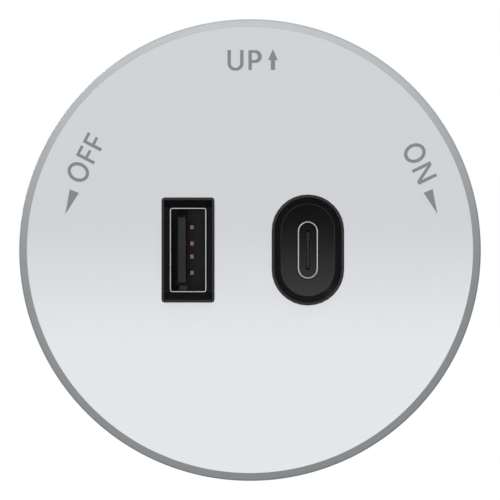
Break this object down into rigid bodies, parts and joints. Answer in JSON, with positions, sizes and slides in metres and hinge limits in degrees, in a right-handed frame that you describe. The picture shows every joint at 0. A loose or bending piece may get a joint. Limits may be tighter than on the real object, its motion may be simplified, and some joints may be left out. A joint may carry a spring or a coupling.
{
  "type": "track usb socket",
  "caption": "Round silver USB power adapter that locks into a wall power track with a quarter turn.",
  "frame": {"origin": "on the twist axis, in the plane where the base's rear face seats on the track", "axes": "+Y out of the base's rear face, into the track; -Y out of the face with the ports; +Z is the face's UP mark; +X is to the right of someone who looks at the face"},
  "size_m": [0.071, 0.0493, 0.071],
  "materials": {
    "face_metal": "satin anodised, fine grain",
    "shell_silver": "silver-grey painted plastic, satin",
    "pocket_black": "black moulded plastic, fine texture",
    "port_metal": "bright plated steel",
    "tongue_black": "black moulded plastic",
    "contact_gold": "thin gold over copper alloy",
    "glue": "thin double-sided sheet",
    "board": "glass laminate with green resist",
    "pin_metal": "tin-plated pins",
    "black_part": "moulded black resin",
    "ferrite": "dark ferrite",
    "coil_tape": "yellow tape over enamelled wire",
    "bobbin_resin": "moulded phenolic",
    "can_sleeve": "aluminium can in a dark sleeve",
    "fuse_brown": "moulded fuse cap",
    "film_yellow": "yellow potted box",
    "film_blue": "blue potted box",
    "barrier": "insulating sheet",
    "rear_black": "black moulded plastic",
    "screw_steel": "zinc-plated steel",
    "spring_steel": "bright spring strip",
    "spindle_grey": "dark glass-filled plastic",
    "shoe_copper": "bare copper alloy",
    "lead_brown": "brown insulated lead",
    "lead_blue": "blue insulated lead",
    "lead_green": "green and yellow insulated lead"
  },
  "bodies": {
    "track_base": {"track_base": "rear_black"},
    "adapter": {"face_plate": "face_metal", "face_pads": "glue", "outer_shell": "shell_silver", "usb_a_bezel": "pocket_black", "usb_c_bezel": "pocket_black", "usb_a_shell": "port_metal", "usb_a_insulator": "tongue_black", "usb_a_contacts": "contact_gold", "usb_c_shell": "port_metal", "usb_c_insulator": "tongue_black", "usb_c_contacts": "contact_gold", "usb_board": "board", "header_block": "black_part", "board_pins": "pin_metal", "power_board": "board", "transformer_core": "ferrite", "transformer_bobbin": "bobbin_resin", "transformer_winding": "coil_tape", "transformer_pins": "pin_metal", "bulk_capacitor": "can_sleeve", "output_capacitor": "can_sleeve", "line_choke": "ferrite", "fuse": "fuse_brown", "line_capacitor": "film_yellow", "safety_capacitor": "film_blue", "bridge_rectifier": "black_part", "optocoupler": "black_part", "control_chip": "black_part", "barrier_sheet": "barrier", "rear_cover": "rear_black", "cover_screws": "screw_steel", "click_spring": "spring_steel", "spindle_body": "spindle_grey", "spindle_tip": "spindle_grey", "live_spring": "spring_steel", "neutral_spring": "spring_steel", "earth_spring": "spring_steel", "live_lead": "lead_brown", "neutral_lead": "lead_blue", "earth_lead": "lead_green"},
    "live_shoe": {"live_contact": "shoe_copper"},
    "neutral_shoe": {"neutral_contact": "shoe_copper"},
    "earth_shoe": {"earth_contact": "shoe_copper"}
  },
  "joints": [
    {"name": "twist_lock", "type": "hinge", "parent": "track_base", "child": "adapter", "pos_m": [0, 0, 0], "axis": [0, 1, 0], "range_deg": [0, 90], "deforming": ["click_spring"]},
    {"name": "live_press", "type": "slide", "parent": "adapter", "child": "live_shoe", "axis": [-1, 0, 0], "range_m": [0, 0.001], "stiffness_N_per_m": 400, "springref_m": -0.003, "deforming": ["live_spring", "live_lead"]},
    {"name": "neutral_press", "type": "slide", "parent": "adapter", "child": "neutral_shoe", "axis": [-1, 0, 0], "range_m": [0, 0.001], "stiffness_N_per_m": 400, "springref_m": -0.003, "deforming": ["neutral_spring", "neutral_lead"]},
    {"name": "earth_press", "type": "slide", "parent": "adapter", "child": "earth_shoe", "axis": [1, 0, 0], "range_m": [0, 0.001], "stiffness_N_per_m": 400, "springref_m": -0.003, "deforming": ["earth_spring", "earth_lead"]}
  ]
}
